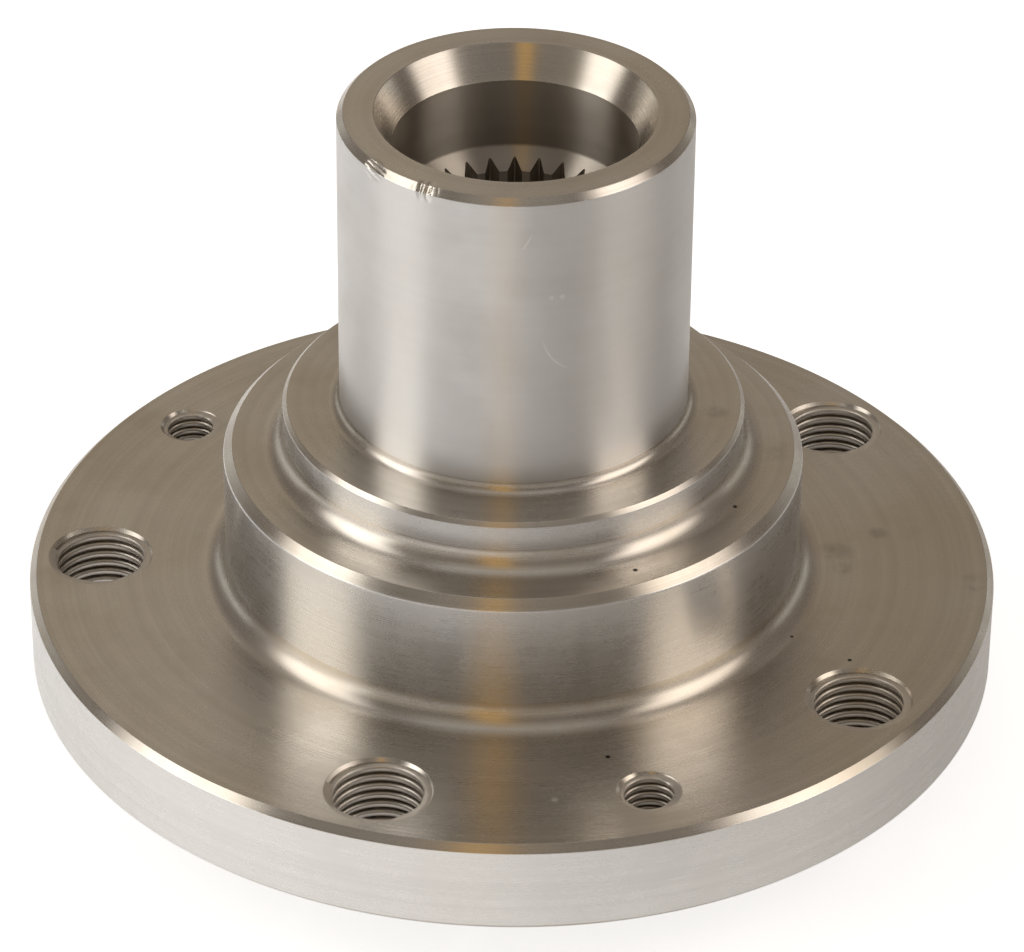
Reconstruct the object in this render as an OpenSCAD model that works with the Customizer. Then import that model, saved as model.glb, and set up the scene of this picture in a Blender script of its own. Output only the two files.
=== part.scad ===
// Driven wheel hub: one forging, machined all over.
// The wheel's mounting face lies at z = 0, on the axis. The bearing journal points up.
// Below the face are the centring spigot and the pocket for the axle nut.

/* [Flange] */
// Diameter of the flange
flange_d = 138; // [134:1:160]
// Thickness of the flange
flange_t = 14; // [10:0.5:18]
// Chamfer on both edges of the flange
flange_chamfer = 1; // [0.3:0.1:1.5]

/* [Wheel bolt holes] */
// Distance from the flange's edge to the circle that all the threaded holes lie on
edge_to_holes = 10; // [9:0.5:13]
// Number of wheel bolt holes
bolt_count = 5; // [4:1:6]
// Thread diameter of the wheel bolts
bolt_d = 14; // [10:0.5:14]
// Width of the chamfer at each mouth of a wheel bolt hole
bolt_mouth = 0.45; // [0.2:0.05:0.8]

/* [Disc screw holes] */
// Thread diameter of the screws that hold the brake disc
screw_d = 8; // [5:0.5:10]
// Width of the chamfer at each mouth of a disc screw hole
screw_mouth = 0.45; // [0.2:0.05:0.8]
// Number of the bolt hole, from 0, that the first screw hole follows
first_screw_index = 1; // [0:1:3]
// Number of the bolt hole, from 0, that the second screw hole follows
second_screw_index = 3; // [0:1:3]

/* [Boss] */
// Diameter of the boss on the flange
boss_d = 82; // [78:0.5:90]
// Height of the boss above the flange
boss_h = 20; // [12:0.5:30]
// Chamfer on the boss's edge
boss_chamfer = 1.3; // [0.5:0.1:2]
// Radius where the boss's wall meets the flange
boss_fillet = 3.5; // [1:0.1:4]

/* [Bearing shoulder] */
// Diameter of the shoulder that the bearing's inner ring rests on
shoulder_d = 65; // [60:0.5:68]
// Height of the shoulder above the boss
shoulder_h = 7.2; // [5:0.1:12]
// Chamfer on the shoulder's edge
shoulder_chamfer = 0.6; // [0.3:0.1:1]
// Radius where the shoulder's wall meets the boss
shoulder_fillet = 3; // [1:0.1:4]

/* [Bearing journal] */
// Diameter of the journal, which the bearing's inner ring is pressed on
journal_d = 49; // [46:0.5:54]
// Length of the journal above the shoulder
journal_l = 46; // [40:0.5:60]
// Chamfer on the journal's end
journal_chamfer = 0.9; // [0.3:0.1:1.5]
// Radius where the journal meets the shoulder
journal_fillet = 1.5; // [0.5:0.1:2.5]

/* [Bore] */
// Diameter of the lead-in cone at the journal's end face
mouth_d = 38.9; // [37:0.1:43]
// Depth of the lead-in cone
mouth_depth = 4.6; // [2:0.1:8]
// Diameter of the relief bore that the drive shaft's shoulder enters
relief_d = 33.6; // [33:0.1:36]
// Depth of the relief bore's wall, from the journal's end face
relief_depth = 14.9; // [10:0.1:24]
// Slope of the cone that leads from the relief bore into the spline, from the horizontal
lead_slope = 45; // [30:1:55]

/* [Spline] */
// Number of spline grooves
spline_teeth = 28; // [24:1:30]
// Diameter over the bottoms of the spline grooves
spline_root_d = 31.2; // [30:0.1:32]
// Diameter over the crests of the spline teeth
spline_crest_d = 28.2; // [27:0.1:29.5]
// Angle between a groove's flank and its centre line
spline_flank = 30; // [25:0.5:38]
// Share of the pitch that a groove takes, halfway up its flanks
spline_share = 0.44; // [0.4:0.01:0.5]
// Angle of the chamfer at the spline's end by the axle nut, from the axis
spline_end_angle = 30; // [20:1:45]
// How far that chamfer opens past the grooves
spline_end_margin = 0.2; // [0.1:0.05:0.5]

/* [Wheel side] */
// Diameter of the spigot that centres the brake disc and the wheel
spigot_d = 71; // [66:0.5:76]
// Height of the spigot below the mounting face
spigot_h = 10; // [6:0.5:16]
// Chamfer on the spigot's edge
spigot_chamfer = 1.5; // [0.5:0.1:2.5]
// Radius where the spigot meets the mounting face
spigot_fillet = 0.8; // [0.3:0.1:1.2]
// Diameter of the pocket for the axle nut
pocket_d = 52; // [46:0.5:56]
// Depth of the pocket, from the spigot's end to the axle nut's seat
pocket_depth = 25; // [15:0.5:34]
// Radius between the pocket's wall and the axle nut's seat
pocket_fillet = 2; // [1:0.1:3]
// Chamfer on the pocket's mouth
pocket_chamfer = 1; // [0.5:0.1:2]

/* [Hidden] */
$fn = 96;

// How far a cutter runs past what it cuts
over = 1;
// Straight steps in the rounded bottom of a spline groove
root_steps = 6;

// Radii
flange_r = flange_d / 2;
hole_circle_r = flange_r - edge_to_holes;
boss_r = boss_d / 2;
shoulder_r = shoulder_d / 2;
journal_r = journal_d / 2;
mouth_r = mouth_d / 2;
relief_r = relief_d / 2;
root_r = spline_root_d / 2;
crest_r = spline_crest_d / 2;
spigot_r = spigot_d / 2;
pocket_r = pocket_d / 2;
end_r = root_r + spline_end_margin;

// Heights, from the wheel's mounting face
spigot_end = -spigot_h;
flange_top = flange_t;
boss_top = flange_top + boss_h;
shoulder_top = boss_top + shoulder_h;
journal_end = shoulder_top + journal_l;
nut_seat = spigot_end + pocket_depth;
mouth_floor = journal_end - mouth_depth;
relief_floor = journal_end - relief_depth;
end_length = (end_r - crest_r) / tan(spline_end_angle);
spline_top = relief_floor - (relief_r - crest_r) * tan(lead_slope);

// Angles of the holes, seen from the journal
pitch_angle = 360 / bolt_count;
bolt_angles = [for (i = [0:bolt_count - 1]) (i + 0.5) * pitch_angle];
screw_angles = [for (i = [first_screw_index, second_screw_index]) (i + 1) * pitch_angle];

// One spline groove, on the Y axis. Its flanks run into the round bottom without a corner.
tooth_angle = 360 / spline_teeth;
mid_r = (root_r + crest_r) / 2;
mid_half = spline_share * PI * mid_r / spline_teeth;
bottom_r = (mid_half * cos(spline_flank) - (root_r - mid_r) * sin(spline_flank))
    / (1 - sin(spline_flank));
bottom_y = root_r - bottom_r;
inner_y = crest_r - over;

// Half the width of a groove at a distance from the axis
function groove_half(y) = mid_half + (mid_r - y) * tan(spline_flank);

groove_outline = concat(
    [[groove_half(inner_y), inner_y]],
    [for (i = [0:root_steps])
        let (a = spline_flank + i * (180 - 2 * spline_flank) / root_steps)
        [bottom_r * cos(a), bottom_y + bottom_r * sin(a)]],
    [[-groove_half(inner_y), inner_y]]
);

// Outline of the outside, from the axis to each edge
outside_outline = [
    [0, spigot_end],
    [spigot_r - spigot_chamfer, spigot_end],
    [spigot_r, spigot_end + spigot_chamfer],
    [spigot_r, 0],
    [flange_r - flange_chamfer, 0],
    [flange_r, flange_chamfer],
    [flange_r, flange_top - flange_chamfer],
    [flange_r - flange_chamfer, flange_top],
    [boss_r, flange_top],
    [boss_r, boss_top - boss_chamfer],
    [boss_r - boss_chamfer, boss_top],
    [shoulder_r, boss_top],
    [shoulder_r, shoulder_top - shoulder_chamfer],
    [shoulder_r - shoulder_chamfer, shoulder_top],
    [journal_r, shoulder_top],
    [journal_r, journal_end - journal_chamfer],
    [journal_r - journal_chamfer, journal_end],
    [0, journal_end]
];

// Outline of the bore, from the axle nut's pocket to the lead-in cone
bore_outline = [
    [0, spigot_end - over],
    [pocket_r + pocket_chamfer + over, spigot_end - over],
    [pocket_r, spigot_end + pocket_chamfer],
    [pocket_r, nut_seat],
    [end_r, nut_seat],
    [crest_r, nut_seat + end_length],
    [crest_r, spline_top],
    [relief_r, relief_floor],
    [relief_r, mouth_floor],
    [mouth_r, journal_end],
    [mouth_r, journal_end + over],
    [0, journal_end + over]
];

// Fills the inner corner at [x, z]. The signs say which way the open side lies.
module corner_fillet(x, z, r, side, up) {
    translate([x, z])
        difference() {
            translate([min(0, side * r), min(0, up * r)]) square(r);
            translate([side * r, up * r]) circle(r);
        }
}

// Half of the hub's section, with the spline still a plain bore
module section() {
    difference() {
        polygon(outside_outline);
        polygon(bore_outline);
    }
    corner_fillet(spigot_r, 0, spigot_fillet, 1, -1);
    corner_fillet(boss_r, flange_top, boss_fillet, 1, 1);
    corner_fillet(shoulder_r, boss_top, shoulder_fillet, 1, 1);
    corner_fillet(journal_r, shoulder_top, journal_fillet, 1, 1);
    corner_fillet(pocket_r, nut_seat, pocket_fillet, -1, -1);
}

// Cuts the grooves of the spline
module spline_grooves() {
    for (i = [0:spline_teeth - 1])
        rotate(i * tooth_angle)
            translate([0, 0, nut_seat - over])
                linear_extrude(relief_floor - nut_seat + over)
                    polygon(groove_outline);
}

// Cuts one hole through the flange, with a chamfer at each mouth
module flange_hole(d, mouth) {
    reach = mouth + over;
    translate([hole_circle_r, 0, 0]) {
        translate([0, 0, -over]) cylinder(d = d, h = flange_t + 2 * over);
        translate([0, 0, flange_top - mouth]) cylinder(d1 = d, d2 = d + 2 * reach, h = reach);
        translate([0, 0, -over]) cylinder(d1 = d + 2 * reach, d2 = d, h = reach);
    }
}

module wheel_hub() {
    color([0.66, 0.63, 0.59])
        difference() {
            rotate_extrude() section();
            spline_grooves();
            for (a = bolt_angles) rotate(a) flange_hole(bolt_d, bolt_mouth);
            for (a = screw_angles) rotate(a) flange_hole(screw_d, screw_mouth);
        }
}

wheel_hub();
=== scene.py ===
"""The looks of a driven wheel hub: a turned steel body with cut threads, on a pale studio floor."""
import math

import bpy
from mathutils import Matrix, Quaternion, Vector
from mathutils.geometry import tessellate_polygon


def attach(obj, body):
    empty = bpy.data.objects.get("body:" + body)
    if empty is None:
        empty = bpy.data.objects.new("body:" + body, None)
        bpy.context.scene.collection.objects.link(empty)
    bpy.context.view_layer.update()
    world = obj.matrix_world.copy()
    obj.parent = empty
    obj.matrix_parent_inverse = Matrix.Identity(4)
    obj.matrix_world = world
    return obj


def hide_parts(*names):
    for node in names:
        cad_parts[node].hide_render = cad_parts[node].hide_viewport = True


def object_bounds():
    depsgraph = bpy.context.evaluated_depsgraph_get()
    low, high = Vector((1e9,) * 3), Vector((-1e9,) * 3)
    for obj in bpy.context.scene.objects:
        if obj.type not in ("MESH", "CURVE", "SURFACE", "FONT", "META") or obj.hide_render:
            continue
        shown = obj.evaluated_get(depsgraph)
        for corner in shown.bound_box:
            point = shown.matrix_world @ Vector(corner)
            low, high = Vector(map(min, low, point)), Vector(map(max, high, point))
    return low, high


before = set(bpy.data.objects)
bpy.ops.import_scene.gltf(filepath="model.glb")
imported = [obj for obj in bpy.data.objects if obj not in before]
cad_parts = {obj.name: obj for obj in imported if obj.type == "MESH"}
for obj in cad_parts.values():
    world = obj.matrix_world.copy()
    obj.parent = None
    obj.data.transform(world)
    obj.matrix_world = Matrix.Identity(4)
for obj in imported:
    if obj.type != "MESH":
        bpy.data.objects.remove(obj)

bl_info = {
    "name": "Wheel Hub",
    "version": (1, 0, 0),
    "blender": (4, 5, 0),
    "location": "3D View > Sidebar > Wheel Hub",
    "description": "Makes a driven wheel hub with its threads, its steel and its studio",
    "category": "Object",
}

MM = 0.001
TURN = 2 * math.pi
NODE = "wheel_hub"
CAD_LOW, CAD_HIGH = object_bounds()

# Columns of faces round the hub and round each hole
COLUMNS = 432
HOLE_COLUMNS = 72
# The finishes, in the order of the body's material slots
FACE, WALL, JOURNAL, BORE, RIM = range(5)
# Steps round a small corner. A corner above LARGE_CORNER gets one for each STEP_TURN of its turn.
CORNER_STEPS = 3
LARGE_CORNER = 0.5 * MM
STEP_TURN = 0.2
# Two edges are rounded this many times wider than one that looks sharp
BOSS_EDGE_TIMES = 3
RELIEF_EDGE_TIMES = 4
# Steps from the bottom of a spline groove to its flank
ROOT_STEPS = 3
# How often a range is halved to find a point, which leaves less than a float's last digit
HALVINGS = 60
# Points are one where their places agree when rounded to this many parts of a metre
POINT_GRID = 1e7
# Five bolt holes. The screw holes lie at these numbers of the bolt holes' pitch.
BOLT_COUNT = 5
SCREW_PITCHES = (2, 4)
# How wide the turned ring round each flat face and round each hole's mouth is
BRIM = 0.5 * MM
LIP = 0.2 * MM


def length(name, description, default):
    """A size in millimetres, kept as a length"""
    return bpy.props.FloatProperty(
        name=name, description=description, default=default * MM, precision=5, unit="LENGTH")


def angle(name, description, default):
    """An angle in degrees, kept as a rotation"""
    return bpy.props.FloatProperty(
        name=name, description=description, default=math.radians(default), subtype="ANGLE")


def share(name, description, default):
    """A plain number from zero to one"""
    return bpy.props.FloatProperty(
        name=name, description=description, default=default, min=0, max=1, subtype="FACTOR")


def colour(name, description, default):
    """A linear colour"""
    return bpy.props.FloatVectorProperty(
        name=name, description=description, default=default, min=0, max=10, size=3, subtype="COLOR")


class HubSizes(bpy.types.PropertyGroup):
    """Sizes of the turned body, as in the part's source"""
    flange_r: length("Flange radius", "Radius of the flange", 69)
    flange_t: length("Flange thickness", "Thickness of the flange", 14)
    flange_chamfer: length("Flange chamfer", "Chamfer on both edges of the flange", 1)
    boss_r: length("Boss radius", "Radius of the boss", 41)
    boss_top: length("Boss top", "Height of the boss's face", 34)
    boss_chamfer: length("Boss chamfer", "Chamfer on the boss's edge", 1.3)
    boss_fillet: length("Boss fillet", "Radius at the foot of the boss", 3.5)
    shoulder_r: length("Shoulder radius", "Radius of the bearing's shoulder", 32.5)
    shoulder_top: length("Shoulder top", "Height of the shoulder's face", 41.2)
    shoulder_chamfer: length("Shoulder chamfer", "Chamfer on the shoulder's edge", 0.6)
    shoulder_fillet: length("Shoulder fillet", "Radius at the foot of the shoulder", 3)
    journal_r: length("Journal radius", "Radius of the bearing journal", 24.5)
    journal_end: length("Journal end", "Height of the journal's end face", 87.2)
    journal_chamfer: length("Journal chamfer", "Chamfer on the journal's end", 0.9)
    journal_fillet: length("Journal fillet", "Radius at the foot of the journal", 1.5)
    mouth_r: length("Mouth radius", "Radius of the lead-in cone's mouth", 19.45)
    mouth_floor: length("Mouth floor", "Height where the lead-in cone ends", 82.6)
    relief_r: length("Relief radius", "Radius of the relief bore", 16.8)
    relief_floor: length("Relief floor", "Height of the relief bore's floor", 72.3)
    lead_slope: angle("Lead slope", "Slope of the cone between the relief bore and the spline", 45)
    nut_seat: length("Nut seat", "Height of the axle nut's seat", 15)
    spigot_r: length("Spigot radius", "Radius of the centring spigot", 35.5)
    spigot_h: length("Spigot height", "Height of the spigot below the face", 10)
    spigot_chamfer: length("Spigot chamfer", "Chamfer on the spigot's edge", 1.5)
    spigot_fillet: length("Spigot fillet", "Radius at the foot of the spigot", 0.8)
    pocket_r: length("Pocket radius", "Radius of the pocket for the axle nut", 26)
    pocket_fillet: length("Pocket fillet", "Radius round the axle nut's seat", 2)
    pocket_chamfer: length("Pocket chamfer", "Chamfer on the pocket's mouth", 1)
    edge: length("Broken edge", "Radius of an edge that looks sharp", 0.16)


class SplineSizes(bpy.types.PropertyGroup):
    """Sizes of the splined bore"""
    teeth: bpy.props.IntProperty(name="Grooves", description="Number of grooves", default=28)
    root_r: length("Root radius", "Radius over the groove bottoms", 15.6)
    crest_r: length("Crest radius", "Radius over the tooth crests", 14.1)
    flank: angle("Flank angle", "Angle between a flank and the groove's centre line", 30)
    groove_share: share("Groove share", "Share of the pitch that a groove takes", 0.33)
    end_angle: angle("End angle", "Angle of the chamfers at the ends, from the axis", 30)
    end_margin: length("End margin", "How far the chamfers open past the grooves", 0.2)
    edge: length("Tooth edge", "Radius of the edges of a tooth's crest", 0.08)


class HoleSizes(bpy.types.PropertyGroup):
    """Sizes of the threaded holes in the flange"""
    circle_r: length("Hole circle", "Radius of the circle that the holes lie on", 59)
    bolt_r: length("Bolt thread radius", "Nominal radius of the wheel bolts' thread", 7)
    bolt_pitch: length("Bolt thread pitch", "Pitch of the wheel bolts' thread", 1.5)
    screw_r: length("Screw thread radius", "Nominal radius of the disc screws' thread", 4)
    screw_pitch: length("Screw thread pitch", "Pitch of the disc screws' thread", 1.25)
    mouth: length("Hole mouth", "Width of the chamfer at a hole's mouth", 0.45)


class SteelFinish(bpy.types.PropertyGroup):
    """Colours and gloss of the bare steel"""
    steel: colour("Steel", "Colour of clean turned steel", (0.60, 0.565, 0.52))
    wall: colour("Wall steel", "Colour of the turned walls", (0.63, 0.62, 0.605))
    ground: colour("Ground steel", "Colour of the ground journal", (0.68, 0.675, 0.665))
    # The rim's colour is lifted above the other steel: painted light, standing in for the bright floor
    # that the rim mirrors
    rim: colour("Rim steel", "Colour of the flange's rim", (0.76, 0.745, 0.72))
    film: colour("Oil film", "Colour of the thin preserving oil", (0.50, 0.44, 0.35))
    # The bore's walls are darker than the outside steel: painted shade in the hollow of the bore
    bored: colour("Bored steel", "Colour of the bore's walls", (0.46, 0.42, 0.37))
    face_gloss: share("Face roughness", "Roughness of the turned faces", 0.27)
    wall_gloss: share("Wall roughness", "Roughness of the turned walls", 0.27)
    ground_gloss: share("Ground roughness", "Roughness of the ground walls", 0.33)
    bored_gloss: share("Bored roughness", "Roughness of the bore's walls", 0.39)
    thread_gloss: share("Thread roughness", "Roughness of the threads", 0.46)


class StudioSetup(bpy.types.PropertyGroup):
    """The camera, the light and the floor"""
    lens: bpy.props.FloatProperty(
        name="Lens", description="Focal length on a 36 mm sensor", default=183.843, unit="CAMERA")
    distance: length("Distance", "From the middle of the flange to the camera", 750.5)
    elevation: angle("Elevation", "Height of the camera above the horizon", 34.054)
    azimuth: angle("Azimuth", "Turn of the camera round the hub", -0.55)
    roll: angle("Roll", "Turn of the camera round its own axis", 0.536)
    aim: length("Aim", "Height above the flange that the camera looks at", 13.842)
    aim_side: length("Aim to the side", "How far left of the axis the camera looks", 0.108)
    floor: colour("Floor", "Colour of the floor", (0.84, 0.86, 0.90))
    floor_white: share("Floor white", "How far the seen floor is lifted towards white", 0.66)
    # The floor's glow in reflections, stronger on the left than on the right, is painted shade on its
    # right side
    floor_left: share("Floor on the left", "How far the floor on the left is lifted in reflections", 0.5)
    floor_right: share(
        "Floor on the right", "How far the floor on the right is lifted in reflections", 0.06)


def settings():
    """All the properties that the operators read"""
    return bpy.context.scene.wheel_hub


class HubMesh:
    """Collects faces with a normal at each corner. Points that agree to a tenth of a micron are one."""

    def __init__(self):
        self.points = []
        self.index = {}
        self.faces = []
        self.normals = []
        self.finish = []

    def point(self, p):
        """The number of the point at p, which is added if it is new"""
        key = tuple(round(v * POINT_GRID) for v in p)
        if key not in self.index:
            self.index[key] = len(self.points)
            self.points.append(Vector(p))
        return self.index[key]

    def face(self, corners, finish):
        """Adds a face of (place, normal) corners, turned the way its normals point"""
        kept = []
        for place, normal in corners:
            at = self.point(place)
            if at not in [k[0] for k in kept]:
                kept.append((at, Vector(normal)))
        if len(kept) < 3:
            return
        p = [self.points[k[0]] for k in kept]
        facing = (p[1] - p[0]).cross(p[2] - p[0])
        if len(p) == 4:
            facing = facing + (p[2] - p[0]).cross(p[3] - p[0])
        if facing.dot(sum((k[1] for k in kept), Vector())) < 0:
            kept.reverse()
        self.faces.append([k[0] for k in kept])
        self.normals.extend(k[1].normalized() for k in kept)
        self.finish.append(finish)

    def build(self, name, materials):
        """Makes the collected faces one object with its own normals"""
        mesh = bpy.data.meshes.new(name)
        mesh.from_pydata(self.points, [], self.faces)
        for material in materials:
            mesh.materials.append(material)
        mesh.polygons.foreach_set("material_index", self.finish)
        mesh.shade_smooth()
        mesh.normals_split_custom_set(self.normals)
        made = bpy.data.objects.new(name, mesh)
        bpy.context.scene.collection.objects.link(made)
        return made


def rounded(corners):
    """Turns (radius, height, corner radius, finish) points into (radius, height, normal, finish) points.
    The solid lies on the left of the way that the points run."""
    out = []
    for i, (r, z, corner, finish) in enumerate(corners):
        here = Vector((r, z))
        before = (here - Vector(corners[i - 1][:2])).normalized() if i else None
        after = (Vector(corners[i + 1][:2]) - here).normalized() if i + 1 < len(corners) else None
        if before is None or after is None:
            way = after or before
            out.append((here, Vector((way.y, -way.x)), finish))
            continue
        turn = math.atan2(before.cross(after), before.dot(after))
        reach = corner * math.tan(abs(turn) / 2)
        start = here - before * reach
        side = 1 if turn > 0 else -1
        first = Vector((before.y, -before.x))
        centre = start - side * corner * first
        steps = CORNER_STEPS
        if corner > LARGE_CORNER:
            steps = max(CORNER_STEPS, math.ceil(abs(turn) / STEP_TURN))
        for k in range(steps + 1):
            a = turn * k / steps
            normal = Vector((first.x * math.cos(a) - first.y * math.sin(a),
                             first.x * math.sin(a) + first.y * math.cos(a)))
            out.append((centre + side * corner * normal, normal, finish))
    return out


def lathe(mesh, outline, columns, centre=(0, 0)):
    """Turns an outline round an upright axis through centre"""
    turns = [TURN * i / columns for i in range(columns)]

    def corner(step, a):
        (r, z), (nr, nz) = outline[step][0], outline[step][1]
        c, s = math.cos(a), math.sin(a)
        return (centre[0] + r * c, centre[1] + r * s, z), (nr * c, nr * s, nz)

    for i in range(len(outline) - 1):
        for k in range(columns):
            a, b = turns[k], turns[(k + 1) % columns]
            mesh.face([corner(i, a), corner(i, b), corner(i + 1, b), corner(i + 1, a)], outline[i + 1][2])


def circle(r, z, columns, centre=(0, 0)):
    """Points round an upright axis through centre"""
    return [Vector((centre[0] + r * math.cos(TURN * i / columns),
                    centre[1] + r * math.sin(TURN * i / columns), z)) for i in range(columns)]


def flat_ring(mesh, loops, up, finish):
    """Fills the flat face between an outer loop and the loops inside it"""
    flat = [p for loop in loops for p in loop]
    normal = Vector((0, 0, up))
    for triangle in tessellate_polygon(loops):
        mesh.face([(flat[i], normal) for i in triangle], finish)


def zip_rings(mesh, outer, inner, finish):
    """Joins two rings of (angle, place, normal) points with different spacing"""
    i = k = 0
    while i < len(outer) or k < len(inner):
        a, b = outer[i % len(outer)], inner[k % len(inner)]
        next_a = outer[(i + 1) % len(outer)][0] + (TURN if i + 1 >= len(outer) else 0)
        next_b = inner[(k + 1) % len(inner)][0] + (TURN if k + 1 >= len(inner) else 0)
        if k >= len(inner) or (i < len(outer) and next_a <= next_b):
            c = outer[(i + 1) % len(outer)]
            i += 1
        else:
            c = inner[(k + 1) % len(inner)]
            k += 1
        mesh.face([a[1:], b[1:], c[1:]], finish)


def tooth_outline(spline):
    """One pitch of the spline, centred on a groove, as (place, normal) points in the plane"""
    root, crest, flank = spline.root_r, spline.crest_r, spline.flank
    middle = (root + crest) / 2
    middle_half = spline.groove_share * math.pi * middle / spline.teeth
    bottom = (middle_half * math.cos(flank) - (root - middle) * math.sin(flank)) / (1 - math.sin(flank))

    def half(y):
        return middle_half + (middle - y) * math.tan(flank)

    # The flank meets the circle of the crests somewhere in this range
    low, high = crest - 1 * MM, root
    for _ in range(HALVINGS):
        y = (low + high) / 2
        low, high = (y, high) if math.hypot(half(y), y) < crest else (low, y)
    edge_y = (low + high) / 2
    edge = Vector((half(edge_y), edge_y))
    flank_normal = Vector((-math.cos(flank), -math.sin(flank)))
    along = Vector((-math.sin(flank), math.cos(flank)))
    edge_angle = math.atan2(edge.x, edge.y)
    pitch_half = math.pi / spline.teeth
    right = []
    arc_start = Vector((bottom * math.cos(flank), root - bottom + bottom * math.sin(flank)))
    for k in range(ROOT_STEPS + 1):
        a = math.pi / 2 - (math.pi / 2 - flank) * k / ROOT_STEPS
        right.append((Vector((bottom * math.cos(a), root - bottom + bottom * math.sin(a))),
                      Vector((-math.cos(a), -math.sin(a)))))
    reach = spline.edge
    right.append(((arc_start + edge) / 2, flank_normal))
    right.append((edge + along * reach, flank_normal))
    land_start = edge_angle + reach / crest
    land_normal = Vector((-math.sin(land_start), -math.cos(land_start)))
    land = Vector((crest * math.sin(land_start), crest * math.cos(land_start)))
    between = (flank_normal + land_normal).normalized()
    right.append(((edge + along * reach + land) / 2 + between * reach * 0.1, between))
    right.append((land, land_normal))
    for k in (1, 2):
        a = land_start + (pitch_half - land_start) * k / 2
        right.append((Vector((crest * math.sin(a), crest * math.cos(a))),
                      Vector((-math.sin(a), -math.cos(a)))))
    left = [(Vector((-p.x, p.y)), Vector((-n.x, n.y))) for p, n in right]
    return left[::-1][:-1] + right[:-1]


def splined_bore(mesh, spline, low, high, lead_slope, finish, outer_low, outer_high):
    """The spline, from the nut's seat to the relief bore's floor, joined to the rings round its ends"""
    end_r = spline.root_r + spline.end_margin
    cone_high = (-math.sin(lead_slope), math.cos(lead_slope))
    cone_low = (-math.cos(spline.end_angle), -math.sin(spline.end_angle))
    columns = []
    for tooth in range(spline.teeth):
        turn = TURN * tooth / spline.teeth + math.pi / 2
        for place, normal in tooth_outline(spline):
            a = turn - math.atan2(place.x, place.y)
            r = place.length
            spin = Matrix.Rotation(turn - math.pi / 2, 2)
            flat, facing = spin @ place, spin @ normal
            columns.append((a % TURN, r, flat, facing))
    columns.sort(key=lambda c: c[0])
    count = len(columns)
    for k in range(count):
        pair = [columns[k], columns[(k + 1) % count]]
        wall, top, bottom = [], [], []
        for a, r, flat, facing in pair:
            up = high - (end_r - r) * math.tan(lead_slope)
            down = low + (end_r - r) / math.tan(spline.end_angle)
            side = (facing.x, facing.y, 0)
            edge = (end_r * math.cos(a), end_r * math.sin(a))
            facing_up = (cone_high[0] * math.cos(a), cone_high[0] * math.sin(a), cone_high[1])
            facing_down = (cone_low[0] * math.cos(a), cone_low[0] * math.sin(a), cone_low[1])
            wall.append([((flat.x, flat.y, up), side), ((flat.x, flat.y, down), side)])
            top.append([((*edge, high), facing_up), ((flat.x, flat.y, up), facing_up)])
            bottom.append([((*edge, low), facing_down), ((flat.x, flat.y, down), facing_down)])
        for strip in (wall, top, bottom):
            mesh.face([strip[0][0], strip[1][0], strip[1][1], strip[0][1]], finish)
    for z, (r, at, normal) in ((high, outer_high), (low, outer_low)):
        inner = [(a, (end_r * math.cos(a), end_r * math.sin(a), z),
                  (normal.x * math.cos(a), normal.x * math.sin(a), normal.y)) for a, *_ in columns]
        outer = []
        for i in range(COLUMNS):
            a = TURN * i / COLUMNS
            c, s = math.cos(a), math.sin(a)
            outer.append((a, (r * c, r * s, at), (normal.x * c, normal.x * s, normal.y)))
        zip_rings(mesh, outer, inner, finish)


# Marks from handling, as (x, y, z, reach) in millimetres
DARK_SPECKS = ((16.5, -32.7, 34, 0.45), (30.7, -17.0, 34, 0.42), (47.0, -25.4, 14, 0.4),
               (12.8, -48.4, 14, 0.45), (39.2, -19.8, 14, 0.32))
SMEARS = ((65.4, -6.7, 14, 4.0), (46.6, 1.5, 14, 3.4), (47.2, -2.6, 14, 2.6), (53.0, 6.5, 14, 2.0),
          (36.2, -2.4, 34, 4.0), (28.4, -3.8, 41.2, 2.2))
PALE_SPECKS = ((5.5, -58.2, 14, 0.6),)
JOURNAL_SPECKS = ((6.2, -23.7, 72.0, 0.5), (4.7, -24.0, 72.0, 0.4))
# Nicks in the edges: where they lie, how far they reach, the way across their furrows,
# and how far the furrows are apart
NICKS = (((-19.2, -15.3, 86.7), 2.4, (0.70, 0.30, 0.65), 0.62),
         ((-12.4, -21.2, 87.0), 2.3, (0.9, -0.4, 0.15), 1.4))
# Fine scratches on the journal: the centre and radius of their arc, and the middle and reach
# of what shows
SCRATCHES = (((9.9, -22.4, 66.5), 6.6, (3.9, -24.2, 61.5), 4.5),
             ((-6.0, -23.8, 85.0), 8.6, (1.4, -24.4, 80.8), 1.6))
# How far a stain's noise bends the furrows of a nick, and how deep their bottoms lie where their
# crests stand 1 above them
FURROW_BEND = 2.5
FURROW_DEPTH = 1.1
# A scratch is full up to the first distance from its arc and gone at the second
SCRATCH_WIDTH = (0.05 * MM, 0.22 * MM)
# Share of a mark's reach in which it fades
NICK_FADE = 0.85
SMEAR_FADE = 0.8
SCRATCH_FADE = 0.6
SPECK_FADE = 0.5
# How strong the marks are, from 0 to 1, and how bright a smear is beside the oil film
SMEAR_LEVEL = 0.4
SMEAR_TONE = 0.35
PALE_LEVEL = 0.9
SCRATCH_LEVEL = 0.35
# How many patches of a noise lie in a metre: fine and broad turning rings, oil and stains
FINE_RINGS = 4200
BROAD_RINGS = 650
OIL_CLOUDS = 28
STAINS = 90
# How high the turning rings stand at full strength, and how deep the nicks are
RING_HEIGHT = 0.04 * MM
NICK_DEPTH = 0.22 * MM
# Levels of a noise between which rings, oil, stains, smears and dull spots come up
RINGS_FROM = (0.3, 0.7)
OIL_FROM = (0.35, 0.7)
STAINS_FROM = (0.5, 0.75)
SMEARS_FROM = (0.42, 0.6)
DULL_FROM = (0.3, 0.75)
# How much of the steel the oil covers on a face and elsewhere, and how much of that a stain adds
FACE_OILED = 0.6
WALL_OILED = 0.35
STAIN_SHARE = 0.4
# How much the fine rings change the roughness, and how much stains add to it
RING_GLOSS = 0.02
STAIN_GLOSS = 0.05
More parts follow.
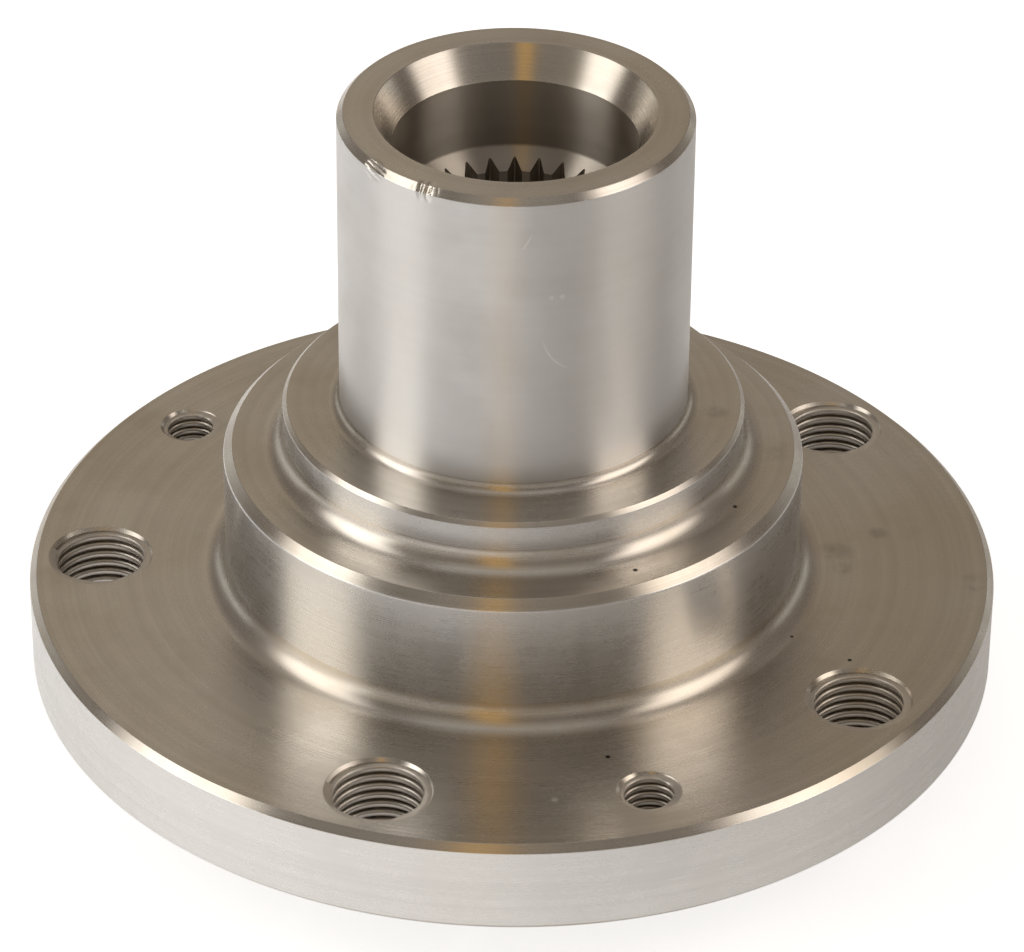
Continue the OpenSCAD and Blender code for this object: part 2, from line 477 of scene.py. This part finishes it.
# Colours of the marks
DARK_MARK = (0.02, 0.018, 0.015, 1)
PALE_MARK = (0.9, 0.88, 0.85, 1)
SCRATCH = (0.95, 0.95, 0.94, 1)


def hole_places(holes, screws):
    """Centres of the bolt holes, or of the two screw holes"""
    pitch = TURN / BOLT_COUNT
    pitches = SCREW_PITCHES if screws else [i + 0.5 for i in range(BOLT_COUNT)]
    turns = [p * pitch for p in pitches]
    return [(holes.circle_r * math.cos(a), holes.circle_r * math.sin(a)) for a in turns]


def add(tree, kind, inputs=None, **setup):
    """Adds a node, sets it up and links or fills its inputs"""
    made = tree.nodes.new(kind)
    for key, value in setup.items():
        setattr(made, key, value)
    for key, value in (inputs or {}).items():
        socket = made.inputs[key]
        if isinstance(value, bpy.types.NodeSocket):
            tree.links.new(value, socket)
        else:
            socket.default_value = value
    return made


def number(tree, operation, *values):
    """Adds a Math node"""
    return add(tree, "ShaderNodeMath", dict(enumerate(values)), operation=operation).outputs[0]


def mixed(tree, factor, a, b):
    """Mixes colours: a where factor is 0, b where it is 1"""
    made = add(tree, "ShaderNodeMix", {0: factor, 6: a, 7: b}, data_type="RGBA")
    return made.outputs[2]


def ramp(tree, value, low, high, to_low=0.0, to_high=1.0):
    """A smooth step from to_low, where value is at low, to to_high, where it is at high"""
    return add(tree, "ShaderNodeMapRange", {0: value, 1: low, 2: high, 3: to_low, 4: to_high},
               interpolation_type="SMOOTHSTEP").outputs[0]


def vector(tree, operation, a, b, output=0):
    """Adds a Vector Math node"""
    return add(tree, "ShaderNodeVectorMath", {0: a, 1: b}, operation=operation).outputs[output]


def scaled(tree, a, factor):
    """Multiplies a vector or colour by a number"""
    return add(tree, "ShaderNodeVectorMath", {0: a, "Scale": factor}, operation="SCALE").outputs[0]


def noise(tree, place, scale, detail, roughness=0.5):
    """Adds a Noise Texture and gives its height"""
    return add(tree, "ShaderNodeTexNoise", {
        "Vector": place, "Scale": scale, "Detail": detail, "Roughness": roughness}).outputs[0]


def from_axis(tree, place):
    """A place's x and y with no height, its distance from the hub's axis, and its height"""
    x, y, z = add(tree, "ShaderNodeSeparateXYZ", {0: place}).outputs
    flat = add(tree, "ShaderNodeCombineXYZ", {0: x, 1: y}).outputs[0]
    return flat, vector(tree, "LENGTH", flat, (0, 0, 0), "Value"), z


def rgba(colour, level=1.0):
    """A colour at a level, as a socket takes it"""
    return (colour[0] * level, colour[1] * level, colour[2] * level, 1)


def near(tree, place, middle, reach, soft):
    """1 round a place given in millimetres, 0 beyond its reach. soft is the share that fades."""
    centre = tuple(v * MM for v in middle)
    off = vector(tree, "DISTANCE", place, centre, "Value")
    return ramp(tree, off, reach * (1 - soft) * MM, reach * MM, 1.0, 0.0)


def spots(tree, place, marks, soft=SPECK_FADE):
    """1 on any of the (x, y, z, reach) marks"""
    cover = 0.0
    for x, y, z, reach in marks:
        cover = number(tree, "MAXIMUM", near(tree, place, (x, y, z), reach, soft), cover)
    return cover


def nicked(tree, place, rough, nicks):
    """Height of the furrows in the nicks"""
    height = 0.0
    for middle, reach, way, apart in nicks:
        centre = tuple(v * MM for v in middle)
        across = vector(tree, "DOT_PRODUCT", vector(tree, "SUBTRACT", place, centre), way, "Value")
        waves = number(tree, "DIVIDE", across, apart * MM)
        bent = number(tree, "ADD", waves, number(tree, "MULTIPLY", rough, FURROW_BEND))
        furrow = ramp(tree, number(tree, "SINE", number(tree, "MULTIPLY", bent, TURN)), -1.0, 1.0)
        sunk = number(tree, "SUBTRACT", furrow, FURROW_DEPTH)
        dent = number(tree, "MULTIPLY", near(tree, place, middle, reach, NICK_FADE), sunk)
        height = number(tree, "ADD", dent, height)
    return height


def scratched(tree, place, scratches):
    """1 on the fine arcs of the scratches"""
    cover = 0.0
    for centre, radius, middle, reach in scratches:
        centre = tuple(v * MM for v in centre)
        off = vector(tree, "DISTANCE", place, centre, "Value")
        off = number(tree, "ABSOLUTE", number(tree, "SUBTRACT", off, radius * MM))
        line = ramp(tree, off, *SCRATCH_WIDTH, 1.0, 0.0)
        line = number(tree, "MULTIPLY", line, near(tree, place, middle, reach, SCRATCH_FADE))
        cover = number(tree, "MAXIMUM", line, cover)
    return cover


def steel(name, clean, film, rough, spread, rings, marks=""):
    """Bare steel with turning rings round the hub's axis, a thin oil film and a few stains.
    rings is how strong the rings are, spread how far they spread a reflection across them, and
    marks is "face" or "journal" for the marks from handling that the surface carries."""
    material = bpy.data.materials.new(name)
    material.use_nodes = True
    tree = material.node_tree
    tree.nodes.clear()
    place = add(tree, "ShaderNodeTexCoord").outputs["Object"]
    _, r, z = from_axis(tree, place)
    section = add(tree, "ShaderNodeCombineXYZ", {0: r, 1: z}).outputs[0]
    fine = noise(tree, section, FINE_RINGS, 2)
    band = noise(tree, section, BROAD_RINGS, 3)
    cloud = noise(tree, place, OIL_CLOUDS, 5, 0.6)
    stain = noise(tree, place, STAINS, 6, 0.65)

    height = number(tree, "ADD", number(tree, "MULTIPLY", fine, 0.5), band)
    bump = add(tree, "ShaderNodeBump", {"Strength": rings, "Distance": RING_HEIGHT, "Height": height})
    facing = bump.outputs[0]
    if marks:
        dents = add(tree, "ShaderNodeBump", {
            "Strength": 1.0, "Distance": NICK_DEPTH,
            "Height": nicked(tree, place, stain, NICKS), "Normal": facing})
        facing = dents.outputs[0]

    oiled = FACE_OILED if marks == "face" else WALL_OILED
    cover = number(tree, "MULTIPLY", ramp(tree, cloud, *OIL_FROM), oiled)
    stained = number(tree, "MULTIPLY", ramp(tree, stain, *STAINS_FROM), oiled * STAIN_SHARE)
    tone = mixed(tree, number(tree, "ADD", cover, stained), rgba(clean), rgba(film))
    tone = scaled(tree, tone, ramp(tree, band, *RINGS_FROM, 1 - rings, 1 + rings))
    if marks == "face":
        smear = number(tree, "MULTIPLY", spots(tree, place, SMEARS, SMEAR_FADE),
                       ramp(tree, stain, *SMEARS_FROM))
        tone = mixed(tree, number(tree, "MULTIPLY", smear, SMEAR_LEVEL), tone, rgba(film, SMEAR_TONE))
        tone = mixed(tree, spots(tree, place, DARK_SPECKS), tone, DARK_MARK)
        speck = number(tree, "MULTIPLY", spots(tree, place, PALE_SPECKS), PALE_LEVEL)
        tone = mixed(tree, speck, tone, PALE_MARK)
    if marks == "journal":
        pale = number(tree, "MAXIMUM", scratched(tree, place, SCRATCHES),
                      spots(tree, place, JOURNAL_SPECKS))
        tone = mixed(tree, number(tree, "MULTIPLY", pale, SCRATCH_LEVEL), tone, SCRATCH)

    gloss = number(tree, "ADD", ramp(tree, fine, *RINGS_FROM, -RING_GLOSS, RING_GLOSS),
                   ramp(tree, stain, *DULL_FROM, rough - RING_GLOSS, rough + STAIN_GLOSS))
    shader = add(tree, "ShaderNodeBsdfPrincipled", {
        "Base Color": tone, "Metallic": 1.0, "Roughness": gloss, "Anisotropic": spread,
        "Anisotropic Rotation": 0.25, "Tangent": vector(tree, "CROSS_PRODUCT", (0, 0, 1), place),
        "Normal": facing})
    add(tree, "ShaderNodeOutputMaterial", {0: shader.outputs[0]})
    return material


class HUB_OT_body(bpy.types.Operator):
    """Turns the hub's body, with its splined bore and the walls of its holes"""
    bl_idname = "wheel_hub.body"
    bl_label = "Hub Body"

    def execute(self, context):
        hub, spline, holes = settings().hub, settings().spline, settings().holes
        finish = settings().finish
        edge = hub.edge
        bottom = -hub.spigot_h
        end_r = spline.root_r + spline.end_margin
        spline_top = hub.relief_floor - (hub.relief_r - end_r) * math.tan(hub.lead_slope)
        mesh = HubMesh()
        wheel_side = rounded([
            (end_r, hub.nut_seat, 0, BORE),
            (hub.pocket_r, hub.nut_seat, hub.pocket_fillet, FACE),
            (hub.pocket_r, bottom + hub.pocket_chamfer, edge, WALL),
            (hub.pocket_r + hub.pocket_chamfer, bottom, edge, FACE),
            (hub.spigot_r - hub.spigot_chamfer, bottom, edge, FACE),
            (hub.spigot_r, bottom + hub.spigot_chamfer, edge, FACE),
            (hub.spigot_r, 0, hub.spigot_fillet, WALL),
            (hub.spigot_r + 2 * hub.spigot_fillet, 0, 0, FACE)])
        rim = rounded([
            (hub.flange_r - hub.flange_chamfer - BRIM, 0, 0, FACE),
            (hub.flange_r - hub.flange_chamfer, 0, edge, FACE),
            (hub.flange_r, hub.flange_chamfer, edge, FACE),
            (hub.flange_r, hub.flange_t - hub.flange_chamfer, edge, RIM),
            (hub.flange_r - hub.flange_chamfer, hub.flange_t, edge, FACE),
            (hub.flange_r - hub.flange_chamfer - BRIM, hub.flange_t, 0, FACE)])
        bearing_side = rounded([
            (hub.boss_r + 2 * hub.boss_fillet, hub.flange_t, 0, FACE),
            (hub.boss_r, hub.flange_t, hub.boss_fillet, FACE),
            (hub.boss_r, hub.boss_top - hub.boss_chamfer, BOSS_EDGE_TIMES * edge, WALL),
            (hub.boss_r - hub.boss_chamfer, hub.boss_top, edge, FACE),
            (hub.shoulder_r, hub.boss_top, hub.shoulder_fillet, FACE),
            (hub.shoulder_r, hub.shoulder_top - hub.shoulder_chamfer, edge, WALL),
            (hub.shoulder_r - hub.shoulder_chamfer, hub.shoulder_top, edge, FACE),
            (hub.journal_r, hub.shoulder_top, hub.journal_fillet, FACE),
            (hub.journal_r, hub.journal_end - hub.journal_chamfer, edge, JOURNAL),
            (hub.journal_r - hub.journal_chamfer, hub.journal_end, edge, FACE),
            (hub.mouth_r, hub.journal_end, edge, FACE),
            (hub.relief_r, hub.mouth_floor, edge, FACE),
            (hub.relief_r, hub.relief_floor, RELIEF_EDGE_TIMES * edge, BORE),
            (end_r + LIP, spline_top + LIP * math.tan(hub.lead_slope), 0, BORE)])
        low = (hub.pocket_r - hub.pocket_fillet, hub.nut_seat, Vector((0, -1)))
        high = (bearing_side[-1][0].x, bearing_side[-1][0].y,
                Vector((-math.sin(hub.lead_slope), math.cos(hub.lead_slope))))
        for run in (wheel_side[1:], rim, bearing_side):
            lathe(mesh, run, COLUMNS)
        splined_bore(mesh, spline, hub.nut_seat, spline_top, hub.lead_slope, BORE, low, high)
        mouths = []
        for nominal, screws in ((holes.bolt_r, False), (holes.screw_r, True)):
            wall = rounded([
                (nominal + holes.mouth + LIP, hub.flange_t, 0, FACE),
                (nominal + holes.mouth, hub.flange_t, edge / 2, FACE),
                (nominal, hub.flange_t - holes.mouth, edge / 2, FACE),
                (nominal, holes.mouth, edge / 2, BORE),
                (nominal + holes.mouth, 0, edge / 2, FACE),
                (nominal + holes.mouth + LIP, 0, 0, FACE)])
            for centre in hole_places(holes, screws):
                lathe(mesh, wall, HOLE_COLUMNS, centre)
                mouths.append((nominal + holes.mouth + LIP, centre))
        for z, outer, inner, up in (
                (0, rim[0][0].x, wheel_side[-1][0].x, -1),
                (hub.flange_t, rim[-1][0].x, bearing_side[0][0].x, 1)):
            loops = [circle(outer, z, COLUMNS), circle(inner, z, COLUMNS)]
            loops += [circle(r, z, HOLE_COLUMNS, centre) for r, centre in mouths]
            flat_ring(mesh, loops, up, FACE)
        metals = [
            steel("turned_face_steel", finish.steel, finish.film, finish.face_gloss,
                  0.83, 0.05, "face"),
            steel("turned_wall_steel", finish.wall, finish.steel, finish.wall_gloss, 0.82, 0.015),
            steel("ground_journal_steel", finish.ground, finish.steel, finish.ground_gloss,
                  0.94, 0.01, "journal"),
            # The bore's steel is darkened as painted shade in the hollow of the bore
            steel("bore_steel_painted_shade", finish.bored, finish.bored, finish.bored_gloss, 0.97, 0.02),
            # The rim's steel is lifted brighter as painted light, standing in for the bright floor that
            # it mirrors
            steel("rim_steel_painted_bright", finish.rim, finish.ground, finish.wall_gloss, 0.85, 0.03)]
        body = mesh.build("hub_body", metals)
        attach(body, "root")
        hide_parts(NODE)
        return {"FINISHED"}


# Where a thread's ridge starts, as a turn round its hole
THREAD_START = math.radians(285)
# Faces of a ridge that meet at more than this angle keep a sharp edge
THREAD_SHARP = math.radians(24)
# Points in one turn of a ridge, and in each of its rounded corners
RIDGE_STEPS = 60
RIDGE_CORNER_STEPS = 4
# How much steeper than the mouth's chamfer the ridge runs out
MOUTH_STEEP = 4.0
# How far the ridge's foot lies inside the wall, and how far its ends stay off the flange's faces
FOOT_SUNK = 0.4 * MM
END_INSIDE = 0.02 * MM
# The ridge's height, its widths at foot and crest, and the radius of its corners, for a pitch of 1
RIDGE_HEIGHT = 0.5413
RIDGE_FOOT = 1.2
RIDGE_CREST = 0.36
RIDGE_CORNER = 0.26


def thread_tree():
    """Geometry nodes that cut a thread's ridge to the mouths of its hole and set it in every hole"""
    tree = bpy.data.node_groups.new("thread_in_holes", "GeometryNodeTree")
    face = tree.interface
    face.new_socket("Geometry", in_out="INPUT", socket_type="NodeSocketGeometry")
    for name in ("Nominal radius", "Pitch", "Mouth", "Thickness"):
        face.new_socket(name, in_out="INPUT", socket_type="NodeSocketFloat")
    face.new_socket("Steel", in_out="INPUT", socket_type="NodeSocketMaterial")
    face.new_socket("Geometry", in_out="OUTPUT", socket_type="NodeSocketGeometry")
    given = add(tree, "NodeGroupInput").outputs
    nominal, pitch, mouth, thickness = (
        given[name] for name in ("Nominal radius", "Pitch", "Mouth", "Thickness"))
    depth = number(tree, "MULTIPLY", pitch, RIDGE_HEIGHT)
    rotations = number(tree, "DIVIDE", thickness, pitch)
    offset = number(tree, "MULTIPLY", number(tree, "SUBTRACT", FOOT_SUNK, depth), 0.5)
    middle = number(tree, "ADD", nominal, offset)
    spiral = add(tree, "GeometryNodeCurveSpiral", {
        "Resolution": RIDGE_STEPS, "Rotations": rotations, "Start Radius": middle, "End Radius": middle,
        "Height": thickness})
    upright = add(tree, "GeometryNodeSetCurveNormal", {"Curve": spiral.outputs[0]}, mode="Z_UP")
    ridge = add(tree, "GeometryNodeCurvePrimitiveQuadrilateral", {
        "Height": number(tree, "ADD", depth, FOOT_SUNK),
        "Bottom Width": number(tree, "MULTIPLY", pitch, RIDGE_FOOT),
        "Top Width": number(tree, "MULTIPLY", pitch, RIDGE_CREST), "Offset": 0.0}, mode="TRAPEZOID")
    soft = add(tree, "GeometryNodeFilletCurve", {
        "Curve": ridge.outputs[0], "Count": RIDGE_CORNER_STEPS,
        "Radius": number(tree, "MULTIPLY", pitch, RIDGE_CORNER), "Limit Radius": True}, mode="POLY")
    solid = add(tree, "GeometryNodeCurveToMesh", {
        "Curve": upright.outputs[0], "Profile Curve": soft.outputs[0], "Fill Caps": True})
    flat, r, z = from_axis(tree, add(tree, "GeometryNodeInputPosition").outputs[0])
    high = number(tree, "SUBTRACT", thickness, END_INSIDE)
    z = number(tree, "MAXIMUM", number(tree, "MINIMUM", z, high), END_INSIDE)
    deep = number(tree, "MINIMUM", z, number(tree, "SUBTRACT", thickness, z))
    wide = number(tree, "ADD", number(tree, "ADD", nominal, mouth), 2 * END_INSIDE)
    chamfer = number(tree, "SUBTRACT", wide, deep)
    runout = number(tree, "SUBTRACT", wide, number(tree, "MULTIPLY", deep, MOUTH_STEEP))
    foot = number(tree, "GREATER_THAN", r, nominal)
    wanted = number(tree, "MAXIMUM", number(tree, "MULTIPLY", chamfer, foot),
                    number(tree, "MAXIMUM", r, runout))
    grown = scaled(tree, flat, number(tree, "DIVIDE", wanted, r))
    raised = add(tree, "ShaderNodeCombineXYZ", {2: z}).outputs[0]
    cut = add(tree, "GeometryNodeSetPosition", {
        "Geometry": solid.outputs[0], "Position": vector(tree, "ADD", grown, raised)})
    each = add(tree, "GeometryNodeInstanceOnPoints", {
        "Points": given["Geometry"], "Instance": cut.outputs[0], "Rotation": (0, 0, THREAD_START)})
    real = add(tree, "GeometryNodeRealizeInstances", {0: each.outputs[0]})
    painted = add(tree, "GeometryNodeSetMaterial", {
        "Geometry": real.outputs[0], "Material": given["Steel"]})
    add(tree, "NodeGroupOutput", {0: painted.outputs[0]})
    return tree


def made_by_nodes(name, tree, points, values):
    """Runs a node tree on loose points and keeps the result as a plain mesh"""
    places = bpy.data.meshes.new(name + "_places")
    places.from_pydata(points, [], [])
    source = bpy.data.objects.new(name + "_source", places)
    bpy.context.scene.collection.objects.link(source)
    modifier = source.modifiers.new("threads", "NODES")
    modifier.node_group = tree
    for item in tree.interface.items_tree:
        if item.in_out == "INPUT" and item.name in values:
            modifier[item.identifier] = values[item.name]
    depsgraph = bpy.context.evaluated_depsgraph_get()
    mesh = bpy.data.meshes.new_from_object(source.evaluated_get(depsgraph), depsgraph=depsgraph)
    bpy.data.objects.remove(source)
    if not mesh.polygons:
        raise RuntimeError(name + " came out empty")
    mesh.shade_smooth()
    mesh.set_sharp_from_angle(angle=THREAD_SHARP)
    made = bpy.data.objects.new(name, mesh)
    bpy.context.scene.collection.objects.link(made)
    return made


class HUB_OT_threads(bpy.types.Operator):
    """Cuts the threads of the five wheel bolt holes and the two disc screw holes"""
    bl_idname = "wheel_hub.threads"
    bl_label = "Hole Threads"

    def execute(self, context):
        hub, holes, finish = settings().hub, settings().holes, settings().finish
        metal = steel("thread_steel", finish.steel, finish.film, finish.thread_gloss, 0.0, 0.05)
        tree = thread_tree()
        for name, nominal, pitch, screws in (
                ("wheel_bolt_threads", holes.bolt_r, holes.bolt_pitch, False),
                ("disc_screw_threads", holes.screw_r, holes.screw_pitch, True)):
            places = [(x, y, 0) for x, y in hole_places(holes, screws)]
            threads = made_by_nodes(name, tree, places, {
                "Nominal radius": nominal, "Pitch": pitch, "Mouth": holes.mouth,
                "Thickness": hub.flange_t, "Steel": metal})
            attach(threads, "root")
        return {"FINISHED"}


def patch(tree, azimuth, elevation, across, up, soft, lean):
    """A soft-edged window of the sky: 1 inside, 0 outside. across and up are (from, to) in degrees.
    lean is how far the window's middle moves sideways for each degree above the middle of up."""
    middle, half = sum(across) / 2, (across[1] - across[0]) / 2
    rise = number(tree, "SUBTRACT", elevation, sum(up) / 2)
    middle = number(tree, "ADD", number(tree, "MULTIPLY", rise, lean), middle)
    off = number(tree, "ABSOLUTE", number(tree, "SUBTRACT", azimuth, middle))
    sideways = ramp(tree, off, half - soft, half + soft, 1.0, 0.0)
    middle, half = sum(up) / 2, (up[1] - up[0]) / 2
    off = number(tree, "ABSOLUTE", number(tree, "SUBTRACT", elevation, middle))
    upwards = ramp(tree, off, half - soft, half + soft, 1.0, 0.0)
    return number(tree, "MULTIPLY", sideways, upwards)


# The floor lies this far under the hub, and reaches this far to each side
FLOOR_GAP = 0.05 * MM
FLOOR_REACH = 4.0
# In reflections the floor glows, and darkens from its left level to its right level between these places:
# painted shade on the floor's right side
FLOOR_FADE = (-0.08, 0.12)
# The studio that the steel mirrors. Azimuth 0 is on the camera's side, and grows to the right.
# Colours of its plain parts. Each comes up between two angles in degrees, where UP is an elevation
# and FROM an azimuth to either side, and ends at END.
FRONT_LEFT = (0.18, 0.155, 0.13, 1)
FRONT_RIGHT = (0.145, 0.125, 0.115, 1)
FRONT_BLEND = (-12, 12)
SIDES = (0.22, 0.19, 0.165, 1)
SIDES_FROM = (85, 105)
REAR_LEFT = (0.52, 0.455, 0.37, 1)
REAR_RIGHT = (0.335, 0.29, 0.24, 1)
REAR_FROM = (145, 168)
HIGH_FRONT = (0.45, 0.41, 0.36, 1)
HIGH_FRONT_UP = (50, 59)
HIGH_FRONT_END = (40, 70)
HIGH_REAR = (0.20, 0.175, 0.145, 1)
HIGH_REAR_UP = (42, 56)
HIGH_REAR_FROM = (130, 150)
CEILING = (0.5, 0.485, 0.46, 1)
CEILING_UP = (66, 76)
BELOW = (0.9, 0.9, 0.9, 1)
HORIZON = (-2, 0)
# The rear's left becomes its right between these shares of the way to the side
REAR_BLEND = (-0.1, 0.1)
# Windows: the colour, azimuths from and to, elevations from and to, softness of the edge, and lean
LOW_FRONT = ((0.54, 0.495, 0.43, 1), (-70, 70), (8, 25), 4, 0.0)
WARM_STRIP = ((0.67, 0.425, 0.165, 1), (-15, -1), (-5, 75), 4, 0.0)
LOW_SIDES = ((0.75, 0.745, 0.70, 1), (112, 146), (-6, 10), 5, 0.0)
LEFT_BOX = ((2.55, 2.45, 2.3, 1), (-102, -66), (6, 60), 6, -0.5)
RIGHT_BOX = ((2.3, 2.1, 1.9, 1), (58, 96), (12, 60), 7, 0.2)
# The camera's sensor in millimetres, and how near it sees
SENSOR = 36
CLIP_START = 10 * MM


def lay_floor(studio):
    """A pale floor that keeps the hub's shadow. What the camera sees of it is lifted to white. What the
    steel mirrors of it glows too, stronger on the left than on the right, as painted shade on its right
    side. From below it is clear."""
    mesh = bpy.data.meshes.new("studio_floor")
    z, reach = CAD_LOW.z - FLOOR_GAP, FLOOR_REACH
    corners = [(-reach, -reach, z), (reach, -reach, z), (reach, reach, z), (-reach, reach, z)]
    mesh.from_pydata(corners, [], [(0, 1, 2, 3)])
    floor = bpy.data.objects.new("studio_floor", mesh)
    bpy.context.scene.collection.objects.link(floor)
    pale = bpy.data.materials.new("pale_floor")
    pale.use_nodes = True
    tree = pale.node_tree
    tree.nodes.clear()
    paint = add(tree, "ShaderNodeBsdfDiffuse", {"Color": rgba(studio.floor)})
    ray = add(tree, "ShaderNodeLightPath")
    mirrored = number(tree, "MAXIMUM", ray.outputs["Is Glossy Ray"], ray.outputs["Is Transmission Ray"])
    seen = number(tree, "MULTIPLY", ray.outputs["Is Camera Ray"], studio.floor_white)
    place = add(tree, "ShaderNodeTexCoord").outputs["Object"]
    across = add(tree, "ShaderNodeSeparateXYZ", {0: place}).outputs[0]
    # Painted shade: the glow that the steel mirrors fades from the floor's left to its right
    lifted = ramp(tree, across, *FLOOR_FADE, studio.floor_left, studio.floor_right)
    seen = number(tree, "ADD", seen, number(tree, "MULTIPLY", mirrored, lifted))
    white = add(tree, "ShaderNodeEmission", {"Strength": seen})
    paint = add(tree, "ShaderNodeAddShader", {0: paint.outputs[0], 1: white.outputs[0]})
    clear = add(tree, "ShaderNodeBsdfTransparent")
    from_below = add(tree, "ShaderNodeNewGeometry").outputs["Backfacing"]
    both = add(tree, "ShaderNodeMixShader", {0: from_below, 1: paint.outputs[0], 2: clear.outputs[0]})
    add(tree, "ShaderNodeOutputMaterial", {0: both.outputs[0]})
    mesh.materials.append(pale)


def paint_sky():
    """A soft studio all round: two large light boxes, a warm strip, and plain walls and ceiling.
    Each part is laid over those before it."""
    world = bpy.data.worlds.new("soft_studio")
    bpy.context.scene.world = world
    world.use_nodes = True
    tree = world.node_tree
    tree.nodes.clear()
    x, y, z = add(tree, "ShaderNodeSeparateXYZ", {
        0: add(tree, "ShaderNodeTexCoord").outputs["Generated"]}).outputs
    azimuth = number(tree, "DEGREES", number(tree, "ARCTAN2", x, number(tree, "MULTIPLY", y, -1.0)))
    elevation = number(tree, "DEGREES", number(tree, "ARCSINE", z))
    side = number(tree, "ABSOLUTE", azimuth)

    def with_window(sky, round_axis, window):
        tint, *place = window
        return mixed(tree, patch(tree, round_axis, elevation, *place), sky, tint)

    front = mixed(tree, ramp(tree, azimuth, *FRONT_BLEND), FRONT_LEFT, FRONT_RIGHT)
    sky = mixed(tree, ramp(tree, side, *SIDES_FROM), front, SIDES)
    rear = mixed(tree, ramp(tree, x, *REAR_BLEND), REAR_LEFT, REAR_RIGHT)
    sky = mixed(tree, ramp(tree, side, *REAR_FROM), sky, rear)
    ahead = number(tree, "MULTIPLY", ramp(tree, elevation, *HIGH_FRONT_UP),
                   ramp(tree, side, *HIGH_FRONT_END, 1.0, 0.0))
    sky = mixed(tree, ahead, sky, HIGH_FRONT)
    sky = with_window(sky, side, LOW_FRONT)
    sky = with_window(sky, azimuth, WARM_STRIP)
    sky = with_window(sky, side, LOW_SIDES)
    behind = number(tree, "MULTIPLY", ramp(tree, elevation, *HIGH_REAR_UP),
                    ramp(tree, side, *HIGH_REAR_FROM))
    sky = mixed(tree, behind, sky, HIGH_REAR)
    sky = mixed(tree, ramp(tree, elevation, *CEILING_UP), sky, CEILING)
    sky = with_window(sky, azimuth, LEFT_BOX)
    sky = with_window(sky, azimuth, RIGHT_BOX)
    sky = mixed(tree, ramp(tree, elevation, *HORIZON), BELOW, sky)
    light = add(tree, "ShaderNodeBackground", {"Color": sky, "Strength": 1.0})
    add(tree, "ShaderNodeOutputWorld", {0: light.outputs[0]})


def set_camera(studio, flange_t):
    """The camera where the photograph was taken from"""
    data = bpy.data.cameras.new("photo_camera")
    camera = bpy.data.objects.new("photo_camera", data)
    bpy.context.scene.collection.objects.link(camera)
    data.sensor_width = SENSOR
    data.lens = studio.lens
    data.clip_start = CLIP_START
    middle = Vector((0, 0, flange_t))
    out = Vector((0, -math.cos(studio.elevation), math.sin(studio.elevation)))
    camera.location = middle + Matrix.Rotation(studio.azimuth, 3, "Z") @ out * studio.distance
    look = middle + Vector((-studio.aim_side, 0, studio.aim)) - camera.location
    camera.rotation_mode = "QUATERNION"
    camera.rotation_quaternion = look.to_track_quat("-Z", "Y") @ Quaternion((0, 0, 1), studio.roll)
    bpy.context.scene.camera = camera


class HUB_OT_stage(bpy.types.Operator):
    """Lays the floor, lights the studio and sets the camera"""
    bl_idname = "wheel_hub.stage"
    bl_label = "Stage"

    def execute(self, context):
        lay_floor(settings().studio)
        paint_sky()
        set_camera(settings().studio, settings().hub.flange_t)
        bpy.context.scene.view_settings.view_transform = "Standard"
        return {"FINISHED"}


class HubSettings(bpy.types.PropertyGroup):
    """All that the wheel hub's operators read"""
    hub: bpy.props.PointerProperty(type=HubSizes, name="Body", description="Sizes of the turned body")
    spline: bpy.props.PointerProperty(type=SplineSizes, name="Spline", description="Sizes of the spline")
    holes: bpy.props.PointerProperty(type=HoleSizes, name="Holes", description="Sizes of the holes")
    finish: bpy.props.PointerProperty(type=SteelFinish, name="Finish", description="The steel")
    studio: bpy.props.PointerProperty(type=StudioSetup, name="Studio", description="Camera and light")


class HUB_PT_panel(bpy.types.Panel):
    """Lists the hub's pieces and their settings"""
    bl_idname = "HUB_PT_panel"
    bl_label = "Wheel Hub"
    bl_space_type = "VIEW_3D"
    bl_region_type = "UI"
    bl_category = "Wheel Hub"

    def draw(self, context):
        for maker in MAKERS:
            self.layout.operator(maker.bl_idname)
        made = settings()
        for group in (made.hub, made.spline, made.holes, made.finish, made.studio):
            box = self.layout.box()
            for name in group.__annotations__:
                box.prop(group, name)


MAKERS = (HUB_OT_stage, HUB_OT_body, HUB_OT_threads)
CLASSES = (HubSizes, SplineSizes, HoleSizes, SteelFinish, StudioSetup, HubSettings, HUB_PT_panel) + MAKERS


def register():
    """Adds the operators, the panel and the settings"""
    for each in CLASSES:
        bpy.utils.register_class(each)
    bpy.types.Scene.wheel_hub = bpy.props.PointerProperty(type=HubSettings)


def unregister():
    """Takes them away again"""
    del bpy.types.Scene.wheel_hub
    for each in reversed(CLASSES):
        bpy.utils.unregister_class(each)


def main():
    """Makes the whole scene"""
    register()
    bpy.ops.wheel_hub.stage()
    bpy.ops.wheel_hub.body()
    bpy.ops.wheel_hub.threads()


if __name__ == "__main__":
    main()
